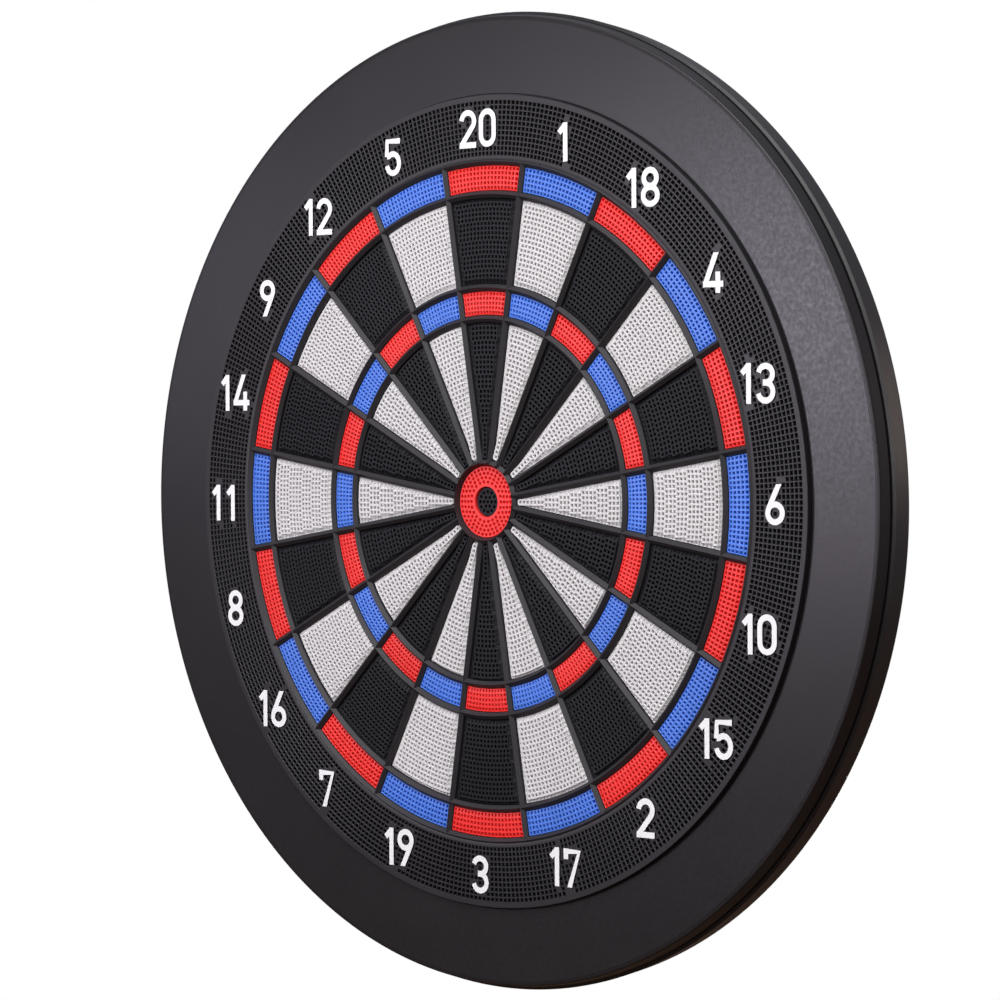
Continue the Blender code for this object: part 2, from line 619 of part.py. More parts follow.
corner = math.cos(HALF_SECTOR)
bull_edge = BULL_BAR - BED_INSET / corner
bull_flange = BULL_BAR - FLANGE_SPACING / 2 / corner
bull_bore = BULLSEYE_RADIUS + SLIDE_FIT / corner
eye_flange = BULLSEYE_RADIUS + BULLSEYE_FLANGE
eye_flange_front = FLANGE_BACK + BULLSEYE_FLANGE_THICKNESS
pocket_front = eye_flange_front + SEAT + BED_TRAVEL
bull_profile = (
    (bull_bore, BED_FACE),
    (bull_edge, BED_FACE),
    (bull_edge, FLANGE_FRONT),
    (bull_flange, FLANGE_FRONT),
    (bull_flange, FLANGE_BACK),
    (eye_flange + NEST_FIT, FLANGE_BACK),
    (eye_flange + NEST_FIT, pocket_front),
    (bull_bore, pocket_front),
)
place("bull_outer", turned("bull_outer", bull_profile, SECTORS), turn=HALF_SECTOR, finish=BED_RED)

eye_profile = (
    (0.0, BED_FACE),
    (BULLSEYE_RADIUS, BED_FACE),
    (BULLSEYE_RADIUS, eye_flange_front),
    (eye_flange, eye_flange_front),
    (eye_flange, FLANGE_BACK),
    (0.0, FLANGE_BACK),
)
place("bull_inner", turned("bull_inner", eye_profile, SECTORS), turn=HALF_SECTOR, finish=BED_BLACK)

# Spider: roof-shaped bars along the sectors' borders, with a rim that stands on the support plate
bm = web_cells()
sloped = bmesh.ops.inset_individual(
    bm, faces=bm.faces[:], thickness=BAR_WIDTH / 2, use_even_offset=True
)["faces"]
windows = [face for face in bm.faces if face not in set(sloped)]
edge_of_window = {vert for face in windows for vert in face.verts}
ridge = [vert for vert in bm.verts if vert not in edge_of_window]
bmesh.ops.translate(bm, vec=(0.0, 0.0, BAR_RIDGE), verts=ridge)
bmesh.ops.delete(bm, geom=windows, context="FACES_ONLY")
border = [e for e in bm.edges if e.is_boundary and min(v.co.z for v in e.verts) > BAR_RIDGE / 2]
skirt = bmesh.ops.extrude_edge_only(bm, edges=border)["geom"]
outer_foot = [item for item in skirt if isinstance(item, bmesh.types.BMVert)]
grow = WEB_OUTER / DOUBLE_OUTER_BAR
bmesh.ops.scale(bm, vec=(grow, grow, 0.0), verts=outer_foot)
bmesh.ops.translate(bm, vec=(0.0, 0.0, BED_FACE), verts=bm.verts[:])
floor = bmesh.ops.extrude_face_region(bm, geom=bm.faces[:])["geom"]
for item in floor:
    if isinstance(item, bmesh.types.BMVert):
        item.co.z = SPIDER_BACK
spider = place("spider", to_mesh("spider", bm), finish=BLACK_SPIDER)

rim_inner = DOUBLE_OUTER_BAR
rim_profile = (
    (rim_inner, RIM_FRONT),
    (RIM_OUTER, RIM_FRONT),
    (RIM_OUTER, SKIRT_FOOT),
    (RIM_OUTER - RIM_WALL, SKIRT_FOOT),
    (RIM_OUTER - RIM_WALL, RIM_BACK),
    (rim_inner, RIM_BACK),
)
boolean(spider, place("spider_rim", turned("spider_rim", rim_profile, CIRCLE_STEPS)), "UNION")

# Number ring: a flat catch ring over the spider's rim, with a wall down to the support plate
ring_profile = (
    (RING_INNER, RING_FACE),
    (RING_OUTER - RING_EDGE, RING_FACE),
    (RING_OUTER, RING_FACE - RING_EDGE),
    (RING_OUTER, SKIRT_FOOT),
    (RING_OUTER - RING_WALL, SKIRT_FOOT),
    (RING_OUTER - RING_WALL, RING_UNDER),
    (RING_INNER, RING_UNDER),
)
place("number_ring", turned("number_ring", ring_profile, CIRCLE_STEPS), finish=BLACK_RING)

# Front surround: the flat outer ring, with a skirt on the support plate, a side wall and screw posts
surround_profile = (
    (SURROUND_INNER, SURROUND_FACE - SURROUND_EDGE),
    (SURROUND_INNER + SURROUND_EDGE, SURROUND_FACE),
    (SURROUND_OUTER - SURROUND_EDGE, SURROUND_FACE),
    (SURROUND_OUTER, SURROUND_FACE - SURROUND_EDGE),
    (SURROUND_OUTER, SURROUND_FOOT),
    (SURROUND_OUTER - SURROUND_WALL, SURROUND_FOOT),
    (SURROUND_OUTER - SURROUND_WALL, SURROUND_UNDER),
    (SURROUND_INNER + SURROUND_WALL, SURROUND_UNDER),
    (SURROUND_INNER + SURROUND_WALL, SKIRT_FOOT),
    (SURROUND_INNER, SKIRT_FOOT),
)
front_surround = place(
    "front_surround", turned("front_surround", surround_profile, CIRCLE_STEPS), finish=BLACK_SHELL
)
bm = bmesh.new()
for x, y in round_places(SCREWS, SCREW_CIRCLE, math.pi / SCREWS):
    add_peg(bm, SCREW_POST_RADIUS, COVER_FLOOR + SEAT, SURROUND_UNDER + SURROUND_THICKNESS / 2, x, y)
boolean(front_surround, place("screw_posts", to_mesh("screw_posts", bm)), "UNION")
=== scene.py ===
"""Electronic dartboard: the looks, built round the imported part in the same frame."""

import math

import bmesh
import bpy
from mathutils import Matrix, Vector


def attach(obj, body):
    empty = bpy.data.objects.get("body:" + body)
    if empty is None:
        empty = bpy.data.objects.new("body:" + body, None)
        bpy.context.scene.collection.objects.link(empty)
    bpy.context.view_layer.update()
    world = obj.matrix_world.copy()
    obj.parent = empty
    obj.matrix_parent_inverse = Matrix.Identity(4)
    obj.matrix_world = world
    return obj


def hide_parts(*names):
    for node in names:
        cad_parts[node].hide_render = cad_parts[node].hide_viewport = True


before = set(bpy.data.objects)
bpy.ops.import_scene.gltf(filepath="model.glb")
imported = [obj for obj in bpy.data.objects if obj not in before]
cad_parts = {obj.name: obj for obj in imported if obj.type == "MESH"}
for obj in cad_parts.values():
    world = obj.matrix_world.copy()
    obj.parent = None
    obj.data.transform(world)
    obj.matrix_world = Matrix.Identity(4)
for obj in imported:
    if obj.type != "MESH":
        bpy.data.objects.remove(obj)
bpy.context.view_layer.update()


# Rear cover: the dish that closes the back, with a raised wall pad, a rounded rear edge and a battery bay.
# One black moulding with a fine spark texture. It carries the rest and is screwed to the surround.
# Shapes here are drawn on the board in millimetres: x right, y up, z out from the wall.
MM = 0.001
FINE_TURN = 240          # steps in a full turn
LONG_FLAT = 2.0          # a longer flat gets a line near each end, so that it shades flat
FLAT_END = 0.2
CREASE = math.radians(34)    # edges that turn more than this shade sharp
CUT_PAST = 2.0           # how far a cutter reaches past the back
PAD_RADIUS = 62
PAD_ROUND = 0.8
BAY_LENGTH = 48.0
BAY_TOP = -243.4
BAY_HEIGHT = 32.7
BAY_WALL = 1.6
BAY_BACK = 4.7
BAY_FRONT = 17.9
BAY_CEILING = 16.3
BUTTON_PLACE = (62.0, -200.0)
BUTTON_HOLE = 5.3
SCREW_COUNT = 8
SCREW_START = 22.5       # degrees from the right to the first screw
SCREW_CIRCLE = 261.05
SINK_RADIUS = 4.2
SINK_FLOOR = 4.2
INSERT_OFFSET = 37.5
INSERT_HOLE = 2.1
INSERT_DEPTH = 4.0


def turned(bm, profile, steps=FINE_TURN):
    """Spins a profile of (radius, height) places once round the board's axis, with long flats kept flat."""
    is_open = profile[0][0] == profile[-1][0] == 0
    places = []
    for start, end in zip(profile, profile[1:] if is_open else profile[1:] + profile[:1]):
        places.append(start)
        length = math.dist(start, end)
        if length > LONG_FLAT:
            for part in (FLAT_END / length, 1 - FLAT_END / length):
                places.append(tuple(a + (b - a) * part for a, b in zip(start, end)))
    if is_open:
        places.append(profile[-1])
    corners = [bm.verts.new((radius, 0, height)) for radius, height in places]
    following = corners[1:] if is_open else corners[1:] + corners[:1]
    outline = [bm.edges.new(pair) for pair in zip(corners, following)]
    bmesh.ops.spin(bm, geom=corners + outline, cent=(0, 0, 0), axis=(0, 0, 1),
                   angle=math.tau, steps=steps, use_merge=True)
    bmesh.ops.remove_doubles(bm, verts=bm.verts, dist=1e-5)
    bmesh.ops.recalc_face_normals(bm, faces=bm.faces)


def soften(bm, edges, offset, segments):
    """Rounds edges of a drawn shape."""
    bmesh.ops.bevel(bm, geom=edges, offset=offset, offset_type="OFFSET", segments=segments, profile=0.5,
                    affect="EDGES", material=-1)


def round_places(count, radius, start=0.0):
    """Places spaced evenly round a circle, from a start in degrees."""
    angles = [math.radians(start + 360 * turn / count) for turn in range(count)]
    return [(radius * math.cos(angle), radius * math.sin(angle)) for angle in angles]


def block(bm, centre, size):
    """A box."""
    place = Matrix.LocRotScale(Vector(centre), None, Vector(size))
    bmesh.ops.create_cube(bm, size=1, matrix=place)


def pin(bm, centre, radius, length, tip=None, sides=32):
    """A round peg along the board's axis, tapered where a tip radius is given."""
    top = radius if tip is None else tip
    bmesh.ops.create_cone(bm, cap_ends=True, segments=sides, radius1=radius, radius2=top, depth=length,
                          matrix=Matrix.Translation(centre))


def carve(bm, tool, operation):
    """Joins a shape with another, or cuts it, and hands back the result."""
    shapes = []
    for shape in (bm, tool):
        mesh = bpy.data.meshes.new("shape")
        shape.to_mesh(mesh)
        shape.free()
        shapes.append(bpy.data.objects.new("shape", mesh))
        bpy.context.collection.objects.link(shapes[-1])
    cut = shapes[0].modifiers.new("cut", "BOOLEAN")
    cut.object = shapes[1]
    cut.operation = operation
    cut.solver = "EXACT"
    result = bmesh.new()
    result.from_object(shapes[0], bpy.context.evaluated_depsgraph_get())
    for shape in shapes:
        bpy.data.objects.remove(shape)
    return result


def fit_piece(name, bm, finishes, body="case"):
    """Closes a drawn shape, stands the board up in the frame and hangs the piece on its body."""
    bmesh.ops.remove_doubles(bm, verts=bm.verts, dist=1e-4)
    bmesh.ops.recalc_face_normals(bm, faces=bm.faces)
    for edge in bm.edges:
        edge.smooth = len(edge.link_faces) == 2 and edge.calc_face_angle(0.0) < CREASE
    for face in bm.faces:
        face.smooth = True
    bmesh.ops.scale(bm, vec=(MM, MM, MM), verts=bm.verts)
    bmesh.ops.rotate(bm, cent=(0, 0, 0), matrix=Matrix.Rotation(math.pi / 2, 3, "X"), verts=bm.verts)
    mesh = bpy.data.meshes.new(name)
    bm.to_mesh(mesh)
    bm.free()
    for finish in finishes:
        mesh.materials.append(finish)
    piece = bpy.data.objects.new(name, mesh)
    bpy.context.collection.objects.link(piece)
    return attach(piece, body)


def moulded(name, colour, rough, specular=0.4, grain=0.1, pit=1400.0, cloud=0.12, uneven=0.06):
    """A moulded plastic or rubber: faint clouding of the colour, uneven gloss and a fine grain."""
    finish = bpy.data.materials.new(name)
    finish.use_nodes = True
    nodes = finish.node_tree.nodes
    links = finish.node_tree.links
    shader = nodes["Principled BSDF"]
    shader.inputs["Specular IOR Level"].default_value = specular
    place = nodes.new("ShaderNodeTexCoord")
    clouds = nodes.new("ShaderNodeTexNoise")
    clouds.inputs["Scale"].default_value = 22.0
    clouds.inputs["Detail"].default_value = 4.0
    tint = nodes.new("ShaderNodeValToRGB")
    tint.color_ramp.elements[0].position = 0.3
    tint.color_ramp.elements[1].position = 0.7
    for element, gain in zip(tint.color_ramp.elements, (1 - cloud, 1 + cloud)):
        element.color = [min(1.0, channel * gain) for channel in colour] + [1]
    gloss = nodes.new("ShaderNodeMapRange")
    gloss.inputs["To Min"].default_value = rough - uneven
    gloss.inputs["To Max"].default_value = rough + uneven
    pits = nodes.new("ShaderNodeTexNoise")
    pits.inputs["Scale"].default_value = pit
    pits.inputs["Detail"].default_value = 2.0
    bump = nodes.new("ShaderNodeBump")
    bump.inputs["Strength"].default_value = grain
    bump.inputs["Distance"].default_value = 0.0003
    for texture in (clouds, pits):
        links.new(place.outputs["Object"], texture.inputs["Vector"])
    links.new(clouds.outputs["Fac"], tint.inputs["Fac"])
    links.new(tint.outputs["Color"], shader.inputs["Base Color"])
    links.new(pits.outputs["Fac"], gloss.inputs["Value"])
    links.new(gloss.outputs["Result"], shader.inputs["Roughness"])
    links.new(pits.outputs["Fac"], bump.inputs["Height"])
    links.new(bump.outputs["Normal"], shader.inputs["Normal"])
    return finish


case_black = moulded("case_black", (0.011, 0.0096, 0.0106), 0.34, grain=0.06, pit=420.0, uneven=0.09)
cover_shape = bmesh.new()
turned(cover_shape, [
    # wall pad and back
    (0, 0), (PAD_RADIUS, 0), (63, 3), (282.6, 3),
    # rounded rear edge and drafted side
    (283.7, 3.2), (284.4, 3.7), (284.75, 4.5), (284.85, 5.4), (286, 17.5),
    # sloping shoulder, groove and the lip that nests in the surround
    (284.5, 18.6), (283.0, 18.6), (283.0, 17.4), (280.7, 17.4), (280.7, 24), (278.9, 24), (278.9, 15.9),
    # inside, with the ring rib under the support plate
    (281.6, 15.3), (281.6, 5.9), (281.1, 5.4), (239.3, 5.4), (239.3, 13.1), (236.8, 13.1), (236.8, 5.4),
    (0, 5.4),
])
pad_rim = {vert for vert in cover_shape.verts
           if abs(vert.co.xy.length - PAD_RADIUS) < 0.01 and abs(vert.co.z) < 0.01}
pad_edges = [edge for edge in cover_shape.edges if pad_rim.issuperset(edge.verts)]
soften(cover_shape, pad_edges, PAD_ROUND, 3)
bay_middle = BAY_TOP - BAY_HEIGHT / 2
bay_box = bmesh.new()
block(bay_box, (0, bay_middle, (BAY_BACK + BAY_FRONT) / 2),
      (BAY_LENGTH + 2 * BAY_WALL, BAY_HEIGHT + 2 * BAY_WALL, BAY_FRONT - BAY_BACK))
cover_shape = carve(cover_shape, bay_box, "UNION")
openings = bmesh.new()
block(openings, (0, bay_middle, (BAY_CEILING - CUT_PAST) / 2),
      (BAY_LENGTH, BAY_HEIGHT, BAY_CEILING + CUT_PAST))
pin(openings, (*BUTTON_PLACE, 4), BUTTON_HOLE, 6)
screw_places = round_places(SCREW_COUNT, SCREW_CIRCLE, SCREW_START)
for place in screw_places:
    pin(openings, (*place, SINK_FLOOR - 2), SINK_RADIUS, 4)
for across in (-INSERT_OFFSET, INSERT_OFFSET):
    for up in (-INSERT_OFFSET, INSERT_OFFSET):
        pin(openings, (across, up, (INSERT_DEPTH - CUT_PAST) / 2), INSERT_HOLE, INSERT_DEPTH + CUT_PAST)
cover_shape = carve(cover_shape, openings, "DIFFERENCE")
rear_cover = fit_piece("rear_cover_shell", cover_shape, [case_black])
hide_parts("rear_cover")


# Wall feet: three soft rubber discs stuck to the back, level with the pad.
# Dull black rubber.
def dress(names, finish):
    """Gives solids of the part a finish."""
    for name in names:
        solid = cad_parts[name].data
        solid.materials.clear()
        solid.materials.append(finish)


foot_rubber = moulded("foot_rubber", (0.022, 0.022, 0.023), 0.82, specular=0.2, grain=0.3, pit=900.0)
dress(["wall_foot_1", "wall_foot_2", "wall_foot_3"], foot_rubber)


# Battery cells, side by side across the bay: steel cans in a plain dark jacket.
# They lie between the contacts and lift out when the door is open.
cell_jacket = moulded("cell_jacket", (0.05, 0.05, 0.055), 0.28, specular=0.5, grain=0.02, cloud=0.3)
dress(["battery_cell_1", "battery_cell_2", "battery_cell_3"], cell_jacket)


# Battery contacts: bright sprung-steel strips and coils on the end walls of the bay.
# Pressed into slots of the moulding, one pair to each cell.
CELL_AXIS = 11.05
CELL_PITCH = 10.8
CELL_RADIUS = 5.25
CELL_CLEAR = 0.3
STRIP = (0.4, 7.4, 8.4)
STRIP_INSET = 0.3
COIL_INSET = 0.75
COIL_RADIUS = 2.6
COIL_TURNS = 2
COIL_STEPS = 48
COIL_RISE = 0.012        # along the cell, in each step
WIRE_RADIUS = 0.25


def metal(name, colour, rough):
    """A bare metal with faint brushing."""
    finish = moulded(name, colour, rough, grain=0.08, pit=2600.0, cloud=0.08)
    finish.node_tree.nodes["Principled BSDF"].inputs["Metallic"].default_value = 1.0
    return finish


spring_steel = metal("spring_steel", (0.62, 0.61, 0.58), 0.32)
contact_shape = bmesh.new()
for cell in range(3):
    cell_y = BAY_TOP - CELL_CLEAR - CELL_RADIUS - CELL_PITCH * cell
    for side in (-1, 1):
        block(contact_shape, (side * (BAY_LENGTH / 2 - STRIP_INSET), cell_y, CELL_AXIS), STRIP)
    coil_side = 1 if cell % 2 else -1
    wire_place = (coil_side * (BAY_LENGTH / 2 - COIL_INSET), cell_y + COIL_RADIUS, CELL_AXIS)
    wire = bmesh.ops.create_circle(contact_shape, segments=8, radius=WIRE_RADIUS,
                                   matrix=Matrix.Translation(wire_place))["verts"]
    rim = list({edge for vert in wire for edge in vert.link_edges})
    bmesh.ops.spin(contact_shape, geom=wire + rim, cent=(0, cell_y, CELL_AXIS), axis=(1, 0, 0),
                   dvec=(-coil_side * COIL_RISE, 0, 0), angle=math.tau * COIL_TURNS, steps=COIL_STEPS)
fit_piece("battery_contacts", contact_shape, [spring_steel])


# Battery door: a flat black lid on the back, hinged on its upper edge.
# Same plastic as the cover, a little duller.
door_black = moulded("door_black", (0.021, 0.020, 0.021), 0.44, grain=0.1)
dress(["battery_door"], door_black)


# Power button: a round grey cap in the back, over the switch of the control board.
# Satin plastic, kept by a flange behind the cover.
button_grey = moulded("button_grey", (0.11, 0.11, 0.12), 0.4)
dress(["power_button"], button_grey)


# Control board, sensor film and its tail: a circuit board behind the plate, joined to the film by the tail.
# Glass-fibre board with a green lacquer; the film and its tail are brown polyester.
circuit_green = moulded("circuit_green", (0.012, 0.12, 0.05), 0.3, specular=0.5, grain=0.05, cloud=0.2)
dress(["control_board"], circuit_green)
film_brown = moulded("film_brown", (0.25, 0.16, 0.07), 0.3, grain=0.02, cloud=0.15)
dress(["film_tail", "sensor_film"], film_brown)


# Support plate: the stiff disc of pressed wood fibre that takes the blows of the darts, seated on the cover's
# ring rib.
# Its near-black colour is painted shade, so that the gap between the number ring and the surround reads dark.
# near-black colour here is painted shade for the gap round the number ring, not the board's own colour
hardboard_painted_shade = moulded("hardboard_painted_shade", (0.012, 0.011, 0.010), 0.75, specular=0.2, grain=0.5, pit=500.0, cloud=0.25)
dress(["support_plate"], hardboard_painted_shade)


# Return mat: a disc of black rubber behind the beds, which pushes them back after a hit.
# Moulded rubber, laid on the film.
MAT_RADIUS = 230.3
MAT_BACK = 18.2
BED_FOOT = 20.2
mat_rubber = moulded("mat_rubber", (0.018, 0.018, 0.018), 0.85, specular=0.2, grain=0.3, pit=700.0)
mat_shape = bmesh.new()
turned(mat_shape, [(0, MAT_BACK), (MAT_RADIUS, MAT_BACK), (MAT_RADIUS, BED_FOOT), (0, BED_FOOT)])
return_mat = fit_piece("return_mat", mat_shape, [mat_rubber])


# Single beds: 40 nylon blocks, an outer and an inner one for each number, black and off-white in turn.
# Each has rows of tapered holes for soft tips, fewer towards the middle, and falls off all round in a
# toothed band. They stand in the spider's windows on the mat.
BED_FACE = 30.0
BED_FALL = 1.5           # from the face to the sloping rim
BED_BAND = 2.2           # least width of the rim beside the holes
BED_ROUND = 0.28
SPOKE_GAP = 2.3          # from a spoke's middle line to a bed
HOLE_WEB = 0.75
HALF_SECTOR = math.radians(9)
NARROWEST_BAND = 0.65    # of the rim where a bed is too narrow for the full band
SAME_CORNER = 0.25       # corners of two rows closer than this become one
TOOTH_LEAD = 0.25
TOOTH_DEPTH = 0.5
TOOTH_CLEAR = HOLE_WEB / 2 + 0.3
TOOTH_SIDE = 0.8         # a cell with a shorter side stays plain


def sink_holes(bm, cells, web=HOLE_WEB, lead=0.3, depth=3.6):
    """Opens a tapered hole for a dart tip in each cell of a drawn sheet."""
    for inset, sink in ((web / 2, 0.0), (lead, -lead), (0.08, -depth)):
        bmesh.ops.inset_individual(bm, faces=cells, thickness=inset, depth=sink, use_even_offset=True)


def stand_bed(bm, cells, foot):
    """Gives a bed's sheet its sides and base, its holes and a soft rim."""
    rim = [edge for edge in bm.edges if edge.is_boundary]
    made = bmesh.ops.extrude_edge_only(bm, edges=rim)["geom"]
    for vert in made:
        if isinstance(vert, bmesh.types.BMVert):
            vert.co.z = foot
    base = [edge for edge in made if isinstance(edge, bmesh.types.BMEdge) and edge.is_boundary]
    bmesh.ops.edgeloop_fill(bm, edges=base)
    sink_holes(bm, cells)
    soften(bm, rim, BED_ROUND, 2)


def room_for_tooth(face):
    """Whether a cell of the rim has room for the hollow beside a tooth."""
    middle = face.calc_center_median()
    for edge in face.edges:
        start, along = edge.verts[0].co, edge.verts[1].co - edge.verts[0].co
        if along.length < TOOTH_SIDE or (middle - start).cross(along).length / along.length < TOOTH_CLEAR:
            return False
    return True


def half_width(radius):
    """Half the width of a bed at a radius, between the spokes beside it."""
    return radius * math.sin(HALF_SECTOR - math.asin(SPOKE_GAP / radius))


def single_bed(inner, first, last, outer, rows, pitch):
    """A single bed in the top sector, with rows of holes from the first to the last radius.

    It is drawn flat, row by row, and then bent round the board."""
    bm = bmesh.new()
    bmesh.ops.create_grid(bm, x_segments=1, y_segments=rows + 2, size=1)
    levels = [inner] + [first + (last - first) * row / rows for row in range(rows + 1)] + [outer]
    for vert in bm.verts:
        row = round((vert.co.y + 1) * (rows + 2) / 2)
        vert.co = (vert.co.x * half_width(levels[row]), row, BED_FACE)
    fields = []
    for row in range(rows + 2):
        aligned = min(max(row, 1), rows)
        wide = half_width((levels[aligned] + levels[aligned + 1]) / 2)
        count = max(1, int(2 * (wide - BED_BAND) / pitch))
        fields.append(min(count * pitch / 2, wide - NARROWEST_BAND))
        for step in range(count + 1):
            strip = [face for face in bm.faces if row < face.calc_center_median().y < row + 1]
            edges = list({edge for face in strip for edge in face.edges})
            verts = list({vert for face in strip for vert in face.verts})
            bmesh.ops.bisect_plane(bm, geom=verts + edges + strip, dist=0.01, plane_no=(1, 0, 0),
                                   plane_co=(fields[row] * (2 * step / count - 1), 0, 0))
    bmesh.ops.remove_doubles(bm, verts=bm.verts, dist=SAME_CORNER)
    holes, teeth = [], []
    for face in bm.faces:
        middle = face.calc_center_median()
        row = int(middle.y)
        if 0 < row <= rows and abs(middle.x) < fields[row]:
            holes.append(face)
        else:
            teeth.append(face)
    for vert in bm.verts:
        vert.co.y = math.sqrt(levels[round(vert.co.y)] ** 2 - vert.co.x ** 2)
        if vert.is_boundary:
            vert.co.z -= BED_FALL
    teeth = [face for face in teeth if room_for_tooth(face)]
    for inset, sink in ((HOLE_WEB / 2, 0.0), (TOOTH_LEAD, -TOOTH_DEPTH)):
        bmesh.ops.inset_individual(bm, faces=teeth, thickness=inset, depth=sink, use_even_offset=True)
    stand_bed(bm, holes, BED_FOOT)
    return bm


def add_copy(bm, drawn, sector=0, shift=(0, 0, 0)):
    """Adds a copy of a drawn shape, turned clockwise to its sector and then shifted."""
    mesh = bpy.data.meshes.new("copy")
    drawn.to_mesh(mesh)
    mesh.transform(Matrix.Translation(shift) @ Matrix.Rotation(-sector * 2 * HALF_SECTOR, 4, "Z"))
    bm.from_mesh(mesh)
    bpy.data.meshes.remove(mesh)


bed_white = moulded("bed_white", (0.650, 0.637, 0.635), 0.5, specular=0.4, grain=0.06, cloud=0.03)
bed_black = moulded("bed_black", (0.009, 0.009, 0.0115), 0.52, specular=0.22, grain=0.06)
outer_single = single_bed(inner=127.5, first=130.7, last=174.95, outer=177.2, rows=16, pitch=2.8)
inner_single = single_bed(inner=24.9, first=26.2, last=103.05, outer=104.7, rows=27, pitch=2.92)
singles = []
for first, name, finish in ((0, "single_beds_black", bed_black), (1, "single_beds_white", bed_white)):
    single_shape = bmesh.new()
    for sector in range(first, 20, 2):
        add_copy(single_shape, outer_single, sector)
        add_copy(single_shape, inner_single, sector)
    singles.append(fit_piece(name, single_shape, [finish]))
for drawn in (outer_single, inner_single):
    drawn.free()
for piece in (return_mat, *singles):
    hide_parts("segment_mat")


# Double and triple beds: 20 narrow blocks in each of two rings, red on one number and blue on the next.
# Nylon, with fanned columns of tapered holes; each slides in its window on a flange and springs back.
NARROW_FALL = 0.45       # from the face to the rim
NUMBERS = [20, 1, 18, 4, 13, 6, 10, 15, 2, 17, 3, 19, 7, 16, 8, 11, 14, 9, 12, 5]
FLANGE = 21.7
bed_red = moulded("bed_red", (0.85, 0.030, 0.026), 0.42, specular=0.45, grain=0.05, cloud=0.05)
bed_blue = moulded("bed_blue", (0.075, 0.205, 0.72), 0.42, specular=0.45, grain=0.05, cloud=0.05)


def narrow_bed(inner, outer, rows, columns):
    """A double or triple bed in the top sector: its columns fan out between its sides."""
    bm = bmesh.new()
    bmesh.ops.create_grid(bm, x_segments=columns, y_segments=rows, size=1)
    for vert in bm.verts:
        radius = inner + (outer - inner) * (vert.co.y + 1) / 2
        angle = vert.co.x * (HALF_SECTOR - math.asin(SPOKE_GAP / radius))
        fall = NARROW_FALL if vert.is_boundary else 0
        vert.co = (radius * math.sin(angle), radius * math.cos(angle), BED_FACE - fall)
    stand_bed(bm, bm.faces[:], FLANGE)
    return bm


double_bed = narrow_bed(inner=181.8, outer=196.15, rows=5, columns=20)
triple_bed = narrow_bed(inner=109.3, outer=122.9, rows=5, columns=13)
for sector, number in enumerate(NUMBERS):
    for kind, drawn in (("double", double_bed), ("triple", triple_bed)):
        node = f"{kind}_{number:02d}"
        bed_shape = bmesh.new()
        add_copy(bed_shape, drawn, sector)
        bed = fit_piece(f"{node}_bed", bed_shape, [bed_blue if sector % 2 else bed_red], node)
        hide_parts(node)
for drawn in (double_bed, triple_bed):
    drawn.free()


# Bulls: a red ring with four rows of holes round a small black centre that lies a little lower.
# Nylon; they slide one inside the other and spring back.
BULL_STEPS = 96


def round_bed(profile, rings):
    """A round bed with rings of (radius, count) tapered holes."""
    bm = bmesh.new()
    turned(bm, profile, BULL_STEPS)
    face = max(height for _, height in profile)
    holes = bmesh.new()
    for radius, count in rings:
        for place in round_places(count, radius):
            pin(holes, (*place, face - 1.7), radius=0.65, length=3.8, tip=1.05, sides=14)
    return carve(bm, holes, "DIFFERENCE")


outer_bull = fit_piece("bull_outer_bed", round_bed(
    [(8.8, FLANGE), (8.8, 28.6), (9.1, 29.0), (20.7, 29.0), (21.0, 28.7), (21.0, FLANGE)],
    [(19.2, 40), (16.7, 34), (14.2, 28), (11.7, 22)]), [bed_red], "bull_outer")
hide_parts("bull_outer")
inner_bull = fit_piece("bull_inner_bed", round_bed(
    [(0, FLANGE), (8.5, FLANGE), (8.5, 27.2), (8.2, 27.5), (0, 27.5)],
    [(5.9, 12), (3.0, 6), (0, 1)]), [bed_black], "bull_inner")
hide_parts("bull_inner")


# Spider: the web of 20 spokes and 5 rings that holds the beds; its roof-shaped bars throw darts into a bed.
# One black nylon moulding whose wide rim lies under the number ring.
BAR_RINGS = [22.6, 107.0, 125.2, 179.5, 198.45]
BAR_HALF = 2.0
RIDGE = 32.0
SPIDER_BACK = 24.0
WINDOW_DRAFT = 0.06
RIM_RADIUS = 233.3
RIM_FACE = 28.4
RIM_BACK = 25.4
BULL_BAR = 1.35          # from the inmost ring's ridge to the bull's window
BULL_EDGE = 29.0
ARC_STEPS = 8            # in the side of a window
spider_black = moulded("spider_black", (0.021, 0.019, 0.022), 0.54, specular=0.42, grain=0.08)


def web_sheet(height):
    """The flat pattern of the web: one face for each window, bounded by the bars' middle lines."""
    bm = bmesh.new()
    columns = 20 * ARC_STEPS
    bmesh.ops.create_grid(bm, x_segments=columns, y_segments=len(BAR_RINGS) - 1, size=1)
    inside = []
    for edge in bm.edges:
        left, right = sorted(vert.co.x for vert in edge.verts)
        column = round((left + 1) * columns / 2)
        on_spoke = (column + ARC_STEPS // 2) % ARC_STEPS == 0
        if left == right and not on_spoke and not edge.is_boundary:
            inside.append(edge)
    for vert in bm.verts:
        radius = BAR_RINGS[round((vert.co.y + 1) * (len(BAR_RINGS) - 1) / 2)]
        angle = vert.co.x * math.pi
        vert.co = (radius * math.sin(angle), radius * math.cos(angle), height)
    bmesh.ops.dissolve_edges(bm, edges=inside)
    bmesh.ops.remove_doubles(bm, verts=bm.verts, dist=1e-3)
    seam = [edge for edge in bm.edges if all(abs(vert.co.x) < 1e-3 and vert.co.y < 0 for vert in edge.verts)]
    bmesh.ops.dissolve_edges(bm, edges=seam)
    return bm


def skirt(bm, rim, path):
    """Carries a round rim through the given (radius, height) places."""
    for radius, height in path:
        made = bmesh.ops.extrude_edge_only(bm, edges=rim)["geom"]
        rim = [edge for edge in made if isinstance(edge, bmesh.types.BMEdge) and edge.is_boundary]
        for vert in {vert for edge in rim for vert in edge.verts}:
            vert.co.xy = vert.co.xy.normalized() * radius
            vert.co.z = height


